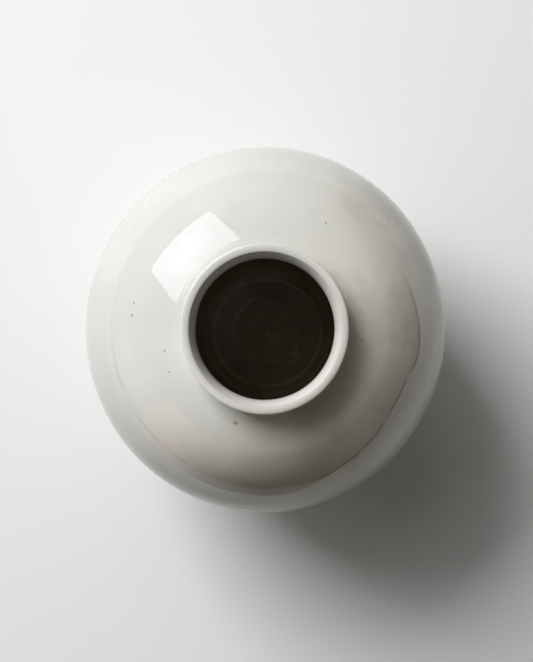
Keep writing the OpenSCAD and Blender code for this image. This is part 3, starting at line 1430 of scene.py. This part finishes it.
@dataclass(frozen=True)
class HiddenClay(Finish):
    """Clay under the glaze, with the lines of the throwing or the drag of a wet brush."""

    light: Colour = (0.70, 0.67, 0.60)
    dark: Colour = (0.60, 0.56, 0.49)
    roughness: tuple[float, float] = (0.65, 0.85)
    pitch: float = 9 * MM
    grain: float = 700.0

    def look(self, board: Board) -> Look:
        """Wires the lines and the grain.

        Args:
            board: The material's board.

        Returns:
            The look.
        """
        rib_height, grit_height = 0.2, 0.06
        ribs = board.use(Effect.RIBS, "Height", Value=board.height, Pitch=self.pitch, Waver=3 * MM)
        clouds = board.use(Effect.CLOUDS, Scale=35.0, Low=0.3, High=0.7)
        share = board.times_plus(ribs, 0.4, board.times(clouds, 0.5))
        pores = board.use(Effect.GRIT, "Pores", Scale=self.grain)
        colour = board.tint(board.times(pores, 0.4), board.tint(share, self.light, self.dark), SOOT)
        grit = board.times(board.use(Effect.GRIT, "Height", Scale=self.grain), grit_height)
        return Look(colour, board.spread(clouds, *self.roughness), board.times_plus(ribs, rib_height, grit))


@dataclass(frozen=True)
class FloorPaint(Finish):
    """A pale matt floor, which darkens away from the jar."""

    edge: tuple[float, float] = (1.88, 1.96)
    pale: float = 0.9
    dim: float = 0.35

    def look(self, board: Board) -> Look:
        """Wires the fall of the colour.

        Args:
            board: The material's board.

        Returns:
            The look.
        """
        reach = board.vector("LENGTH", board.place)
        return Look(board.fade(reach, *self.edge, self.pale, self.dim), roughness=1.0, specular=0.0)


Dressing = tuple[tuple[Finish, str, tuple[str, ...]], ...]


@dataclass
class Assembly:
    """A group of pieces of the jar that are turned and dressed together."""

    sizes: JarSizes
    shelf: EffectShelf
    segments: int = 128
    pieces: dict[str, bpy.types.Object] = field(default_factory=dict)

    def build(self) -> None:
        """Turns the pieces."""
        raise NotImplementedError

    def finishes(self) -> Dressing:
        """Gives the finishes of the pieces.

        Returns:
            Each finish, its slot and the part's nodes that it goes on.
        """
        raise NotImplementedError

    def turn(self, node: str, section: Section) -> None:
        """Turns a section into the piece that stands for a node of the part."""
        self.pieces[node] = section.turn(self.segments)

    def dress(self) -> None:
        """Gives each piece its finish and its place in the jar."""
        for finish, slot, nodes in self.finishes():
            material = finish.paint(self.shelf)
            for node in nodes:
                piece = self.pieces[node]
                piece.data.materials.clear()
                piece.data.materials.append(material)
                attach(piece, "root")
                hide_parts(node)
                log.info("%s stands for %s", piece.name, node)


@dataclass
class Foot(Assembly):
    """The foot ring, the slip that holds it and the glaze in its well."""

    segments: int = 192

    def build(self) -> None:
        """Turns the three pieces."""
        sizes = self.sizes
        inner, outer, edge = sizes.ring_in, sizes.ring_out, sizes.foot_edge_r
        top, base = sizes.joint(sizes.foot_h)
        ring = Section("bare_foot", Point(inner, top))
        ring.arc(Arc(Point(inner + edge, edge), edge, math.pi, 3 * QUARTER), 8)
        ring.arc(Arc(Point(outer - edge, edge), edge, -QUARTER, 0.0), 8)
        self.turn("foot_ring", ring.line(Point(outer, top)))

        seam = Section("foot_joint", Point(inner, top))
        self.turn("foot_slip", seam.line(Point(outer, top), Point(outer, base), Point(inner, base)))

        under, lined = base - sizes.glaze_t, inner - sizes.glaze_t
        well = Section("well_glaze", Point(0.0, under))
        well.line(Point(lined, under), Point(lined, sizes.bare_h), Point(inner, sizes.bare_h))
        self.turn("base_glaze", well.line(Point(inner, base), Point(0.0, base)))

    def finishes(self) -> Dressing:
        """Gives the finishes of the pieces.

        Returns:
            Each finish, its slot and the part's nodes that it goes on.
        """
        return (
            (BareClay("bare_clay"), "bare_clay", ("foot_ring",)),
            (HiddenClay("foot_slip_clay", pitch=2 * MM), "slip", ("foot_slip",)),
            (WellGlaze("thin_well_glaze"), "base_glaze", ("base_glaze",)),
        )


@dataclass
class Bowls(Assembly):
    """The two thrown bowls, the slip between their rims and the coil pressed over the joint."""

    def build(self) -> None:
        """Turns the four pieces."""
        sizes = self.sizes
        skin = sizes.outside(sizes.glaze_t)
        room = sizes.inside(sizes.glaze_t)
        low, high = sizes.joint(sizes.waist_h)
        groove_r = sizes.key_r + sizes.slip_t
        dip = math.asin(sizes.slip_t / groove_r)
        groove = Arc(sizes.key_c, groove_r, -math.pi + dip, -dip)
        ridge = Arc(sizes.key_c, sizes.key_r, -math.pi, 0.0)

        belly, side = skin["belly"].below(low), room["side"].below(low)
        lower = Section("lower_bowl_clay", Point(0.0, sizes.base_z))
        lower.arc(skin["foot_cove"].above(sizes.base_z), 8).arc(belly, 64)
        lower.arc(groove.back(), 10).arc(side.back(), 48).arc(room["floor"].back(), 16)
        self.turn("lower_bowl", lower)

        haunch_out, haunch_in = skin["haunch"].above(high), room["haunch"].above(high)
        seam = Section("waist_joint", belly.at(belly.end))
        seam.line(haunch_out.at(haunch_out.start)).arc(ridge.back(), 10)
        seam.line(haunch_in.at(haunch_in.start), side.at(side.end)).arc(groove, 10)
        self.turn("waist_slip", seam)

        neck_low, _ = sizes.joint(sizes.neck_z)
        upper = Section("upper_bowl_clay", haunch_out.at(haunch_out.start))
        upper.arc(haunch_out, 24).arc(skin["shoulder"], 24).arc(skin["neck_cove"].below(neck_low), 8)
        upper.line(Point(sizes.throat_r + sizes.glaze_t, neck_low))
        upper.arc(room["throat_edge"].back(), 8).arc(room["ceiling"].back(), 20)
        self.turn("upper_bowl", upper.arc(haunch_in.back(), 20).arc(ridge, 10))

        wall = [room["side"], room["haunch"]]
        ends = [arc.crossing(sizes.coil_c, sizes.coil_r) for arc in wall]
        face = [sizes.coil_c.toward(arc.at(angle)) % TURN for arc, angle in zip(wall, ends)]
        coil = Section("pressed_coil", wall[0].at(ends[0]))
        coil.arc(Arc(wall[0].centre, wall[0].radius, ends[0], 0.0), 6)
        coil.arc(Arc(wall[1].centre, wall[1].radius, 0.0, ends[1]), 6)
        self.turn("waist_coil", coil.arc(Arc(sizes.coil_c, sizes.coil_r, face[1], face[0]), 20))

    def finishes(self) -> Dressing:
        """Gives the finishes of the pieces.

        Returns:
            Each finish, its slot and the part's nodes that it goes on.
        """
        slip = HiddenClay("joint_slip", light=(0.64, 0.60, 0.52), pitch=2 * MM)
        return (
            (HiddenClay("bowl_clay"), "body_clay", ("lower_bowl", "waist_coil", "upper_bowl")),
            (slip, "slip", ("waist_slip",)),
        )


@dataclass
class Neck(Assembly):
    """The neck with its rolled lip, and the slip under it."""

    def build(self) -> None:
        """Turns the two pieces."""
        sizes = self.sizes
        skin = sizes.outside(sizes.glaze_t)
        room = sizes.inside(sizes.glaze_t)
        low, high = sizes.joint(sizes.neck_z)
        inner = sizes.throat_r + sizes.glaze_t
        outer = sizes.neck_r - sizes.glaze_t
        cove = skin["neck_cove"].above(low)
        flare, rim = room["flare"].split(high)
        seam = Section("neck_joint", cove.at(cove.start))
        seam.arc(cove, 3).line(Point(outer, high), flare.at(flare.end)).arc(flare.back(), 2)
        self.turn("neck_slip", seam.line(Point(inner, low)))

        neck = Section("neck_clay", Point(outer, high))
        neck.arc(skin["under_lip"], 12).arc(skin["lip_edge"], 10).arc(skin["crown"], 6)
        neck.arc(room["crown"].back(), 6).arc(room["mouth_edge"].back(), 4)
        self.turn("neck_collar", neck.arc(rim.back(), 12))

    def finishes(self) -> Dressing:
        """Gives the finishes of the pieces.

        Returns:
            Each finish, its slot and the part's nodes that it goes on.
        """
        slip = HiddenClay("neck_joint_slip", light=(0.64, 0.60, 0.52), pitch=2 * MM)
        return (
            (slip, "slip", ("neck_slip",)),
            (HiddenClay("collar_clay", pitch=4 * MM), "body_clay", ("neck_collar",)),
        )


@dataclass
class GlazeCoat(Assembly):
    """The glaze outside and inside, which meet on the crest of the lip."""

    segments: int = 256
    bead_r: float = 0.7 * MM
    swell_h: float = 22 * MM
    rings_z: float = 309 * MM
    line_z: float = 273 * MM

    def build(self) -> None:
        """Turns the two pieces."""
        self.turn("outer_glaze", self.coat())
        self.turn("inner_glaze", self.lining())

    def coat(self) -> Section:
        """Draws the glaze outside, up to the crest and back down on the clay.

        Returns:
            The section.
        """
        sizes = self.sizes
        skin = sizes.outside(0.0)
        bed = sizes.outside(sizes.glaze_t)
        bead_c = Point(sizes.foot_r - self.bead_r, sizes.bare_h + self.bead_r)
        bead = Arc(bead_c, self.bead_r, -QUARTER, 0.0)
        belly, low_waist = skin["belly"].split(sizes.waist_h - self.swell_h)
        high_waist, haunch = skin["haunch"].split(sizes.waist_h + self.swell_h)
        haunch, lined = haunch.split(self.line_z)
        shoulder, near_neck = skin["shoulder"].split(self.rings_z)
        swell, rings = upward(WAIST_RIDGES), across(NECK_RIDGES)
        coat = Section("outside_glaze", bead.at(bead.start))
        coat.arc(bead, 5).arc(skin["foot_cove"], 10).arc(belly, 58)
        coat.relief(low_waist, 20, swell).relief(high_waist, 20, swell).arc(haunch, 20)
        coat.relief(lined, 30, across(HAUNCH_RIDGES)).arc(shoulder, 20)
        coat.relief(near_neck, 54, rings).relief(skin["neck_cove"], 18, rings)
        coat.arc(skin["under_lip"], 12).arc(skin["lip_edge"], 16)
        coat.arc(skin["crown"].part(0.0, 0.94), 12).arc(skin["crown"].part(0.94, 1.0), 1)
        steps = {"crown": 4, "lip_edge": 5, "under_lip": 5, "neck_cove": 5}
        steps |= {"shoulder": 12, "haunch": 12, "belly": 24, "foot_cove": 5}
        for name, count in steps.items():
            coat.arc(bed[name].back(), count)
        return coat.line(Point(sizes.ring_out, sizes.bare_h))

    def lining(self) -> Section:
        """Draws the glaze inside, up to the crest and back down on the clay.

        Returns:
            The section.
        """
        sizes = self.sizes
        room = sizes.inside(0.0)
        wall = sizes.inside(sizes.glaze_t)
        lining = Section("inside_glaze", room["floor"].at(room["floor"].start))
        lining.relief(room["floor"], 110, across(FLOOR_RIDGES))
        for arc, count in zip(self.past_coil(room, sizes.coil_r + sizes.glaze_t), (46, 12, 24)):
            lining.arc(arc, count)
        lining.arc(room["ceiling"], 22).arc(room["throat_edge"], 12)
        lining.relief(room["flare"], 52, upward(MOUTH_RIDGES)).arc(room["mouth_edge"], 6)
        lining.arc(room["crown"].part(0.0, 0.94), 8).arc(room["crown"].part(0.94, 1.0), 1)
        steps = {"crown": 3, "mouth_edge": 3, "flare": 8, "throat_edge": 6, "ceiling": 12}
        for name, count in steps.items():
            lining.arc(wall[name].back(), count)
        for arc, count in zip(reversed(self.past_coil(wall, sizes.coil_r)), (12, 8, 20)):
            lining.arc(arc.back(), count)
        return lining.arc(wall["floor"].back(), 12)

    def past_coil(self, room: dict[str, Arc], coil_r: float) -> list[Arc]:
        """Gives the side and the haunch inside, with the coil's face between them.

        Args:
            room: The round stretches inside.
            coil_r: Radius of the coil's face in this surface.

        Returns:
            The three stretches, from below.
        """
        side, haunch, centre = room["side"], room["haunch"], self.sizes.coil_c
        low = side.crossing(centre, coil_r)
        high = haunch.crossing(centre, coil_r)
        face = (centre.toward(side.at(low)) % TURN, centre.toward(haunch.at(high)) % TURN)
        return [
            Arc(side.centre, side.radius, side.start, low),
            Arc(centre, coil_r, *face),
            Arc(haunch.centre, haunch.radius, high, haunch.end),
        ]

    def finishes(self) -> Dressing:
        """Gives the finishes of the pieces.

        Returns:
            Each finish, its slot and the part's nodes that it goes on.
        """
        wash = InsideGlaze("inside_wash", edge_height=self.sizes.throat_edge_c.z)
        return (
            (OutsideGlaze("white_glaze"), "outer_glaze", ("outer_glaze",)),
            (wash, "inner_glaze", ("inner_glaze",)),
        )


@dataclass
class PottersHand:
    """The slight oval, lean and wander that the hand leaves, given to every piece of the jar alike."""

    sizes: JarSizes
    oval: float = 0.009
    lean: tuple[float, float] = (-0.65 * MM, 0.85 * MM)
    dip: tuple[float, float] = (0.0, -0.010)
    wander: float = 0.35 * MM
    counts: tuple[int, int, int] = (5, 5, 6)
    seed: int = 5

    def make_cage(self) -> bpy.types.Object:
        """Makes the cage whose bends the pieces follow, with its lowest layer left level.

        Returns:
            The cage.
        """
        bpy.ops.object.select_all(action="DESELECT")
        tall = self.sizes.crest_z
        wide = 2.1 * self.sizes.body_r
        bpy.ops.object.add(type="LATTICE", location=(0.0, 0.0, tall / 2))
        cage = bpy.context.active_object
        cage.scale = (wide, wide, tall)
        grid = cage.data
        grid.points_u, grid.points_v, grid.points_w = self.counts
        for axis in "uvw":
            setattr(grid, "interpolation_type_" + axis, "KEY_BSPLINE")
        draw = random.Random(self.seed)
        for point in grid.points:
            x, y, rise = point.co[0] * wide, point.co[1] * wide, point.co[2] + 0.5
            over = max(0.0, 2 * rise - 1)
            lift = over * over * (3 - 2 * over)
            give = self.wander * min(1.0, max(0.0, 2 * rise - 0.5))
            sway = [draw.uniform(-give, give) for _ in range(3)]
            move_x = -self.oval * x + self.lean[0] * lift + sway[0]
            move_y = self.oval * y + self.lean[1] * lift + sway[1]
            move_z = (self.dip[0] * x + self.dip[1] * y) * lift + sway[2]
            point.co_deform = (
                point.co[0] + move_x / wide,
                point.co[1] + move_y / wide,
                point.co[2] + move_z / tall,
            )
        return cage

    def shape(self, pieces: Iterable[bpy.types.Object]) -> None:
        """Bends the pieces with the cage.

        Args:
            pieces: The jar's pieces.
        """
        cage = self.make_cage()
        for piece in pieces:
            bpy.ops.object.select_all(action="DESELECT")
            piece.select_set(True)
            bpy.context.view_layer.objects.active = piece
            bend = piece.modifiers.new("hand", "LATTICE")
            bend.object = cage
            bpy.ops.object.modifier_apply(modifier=bend.name)
        bpy.data.objects.remove(cage)


class Glow(Enum):
    """What a lamp is for: lighting things, or showing as the soft window in the glaze."""

    LIGHTS = "lights"
    SHOWS = "shows"


class Lamp(NamedTuple):
    """A soft panel lamp: its width and height in metres, its power in watts and what it is for."""

    name: str
    shape: str
    width: float
    height: float
    power: float
    glow: Glow


@dataclass
class Studio:
    """The pale floor, the one soft lamp, the dim room and the camera above the jar."""

    shelf: EffectShelf
    floor_r: float = 6.0
    camera_at: tuple[float, float, float] = (0.0011, -0.0012, 1.938)
    lens_mm: float = 85.8
    lamp_azimuth: float = math.radians(133.6)
    lamp_height: float = math.radians(40.6)
    window_azimuth: float = math.radians(134.1)
    window_height: float = math.radians(42.8)
    lamp_gap: float = 5.1
    lamps: tuple[Lamp, ...] = (
        Lamp("panel", "RECTANGLE", 2.9, 2.48, 262.0, Glow.LIGHTS),
        Lamp("wide_haze", "RECTANGLE", 6.8, 5.9, 84.0, Glow.LIGHTS),
        Lamp("window", "RECTANGLE", 3.12, 2.7, 118.0, Glow.SHOWS),
        Lamp("window_middle", "ELLIPSE", 2.1, 1.8, 8.0, Glow.SHOWS),
        Lamp("window_heart", "ELLIPSE", 1.1, 0.95, 2.6, Glow.SHOWS),
    )
    lamp_colour: Colour = (1.0, 1.0, 1.0)
    window_colour: Colour = (0.93, 0.96, 1.0)
    room_colour: Colour = (0.080, 0.075, 0.069)

    def build(self) -> None:
        """Sets the studio up."""
        self.lay_floor()
        self.hang_lamps()
        self.light_room()
        self.set_camera()

    def lay_floor(self) -> None:
        """Lays the floor that the jar stands on."""
        bpy.ops.object.select_all(action="DESELECT")
        bpy.ops.mesh.primitive_circle_add(vertices=128, radius=self.floor_r, fill_type="NGON")
        floor = bpy.context.active_object
        floor.name = "floor"
        floor.data.materials.append(FloorPaint("pale_floor").paint(self.shelf))

    def hang_lamps(self) -> None:
        """Hangs the panels to the upper left, one behind the other."""
        ways = {
            Glow.LIGHTS: self.way(self.lamp_azimuth, self.lamp_height),
            Glow.SHOWS: self.way(self.window_azimuth, self.window_height),
        }
        for row, lamp in enumerate(self.lamps):
            way = ways[lamp.glow]
            light = bpy.data.lights.new(lamp.name, "AREA")
            light.shape = lamp.shape
            light.size = lamp.width
            light.size_y = lamp.height
            light.energy = lamp.power
            light.color = self.window_colour if lamp.glow is Glow.SHOWS else self.lamp_colour
            panel = bpy.data.objects.new(lamp.name, light)
            panel.location = way * (self.lamp_gap + 0.02 * row)
            panel.rotation_euler = way.to_track_quat("Z", "Y").to_euler()
            panel.visible_glossy = lamp.glow is Glow.SHOWS
            panel.visible_diffuse = lamp.glow is Glow.LIGHTS
            bpy.context.scene.collection.objects.link(panel)

    def way(self, azimuth: float, height: float) -> Vector:
        """Gives the direction with an azimuth and a height, in radians."""
        flat = math.cos(height)
        return Vector((flat * math.cos(azimuth), flat * math.sin(azimuth), math.sin(height)))

    def light_room(self) -> None:
        """Gives the room its dim warm light."""
        world = bpy.data.worlds.new("room")
        world.use_nodes = True
        world.node_tree.nodes["Background"].inputs["Color"].default_value = (*self.room_colour, 1.0)
        bpy.context.scene.world = world

    def set_camera(self) -> None:
        """Hangs the camera straight above the jar."""
        lens = bpy.data.cameras.new("camera")
        lens.lens = self.lens_mm
        camera = bpy.data.objects.new("camera", lens)
        camera.location = self.camera_at
        bpy.context.scene.collection.objects.link(camera)
        bpy.context.scene.camera = camera
        bpy.context.scene.view_settings.view_transform = "Standard"


def main() -> None:
    """Builds the studio and the jar in order."""
    logging.basicConfig(level=logging.INFO)
    sizes = JarSizes()
    shelf = EffectShelf()
    Studio(shelf).build()
    assemblies = (Foot(sizes, shelf), Bowls(sizes, shelf), Neck(sizes, shelf), GlazeCoat(sizes, shelf))
    for assembly in assemblies:
        assembly.build()
        assembly.dress()
    PottersHand(sizes).shape(piece for assembly in assemblies for piece in assembly.pieces.values())


if __name__ == "__main__":
    main()
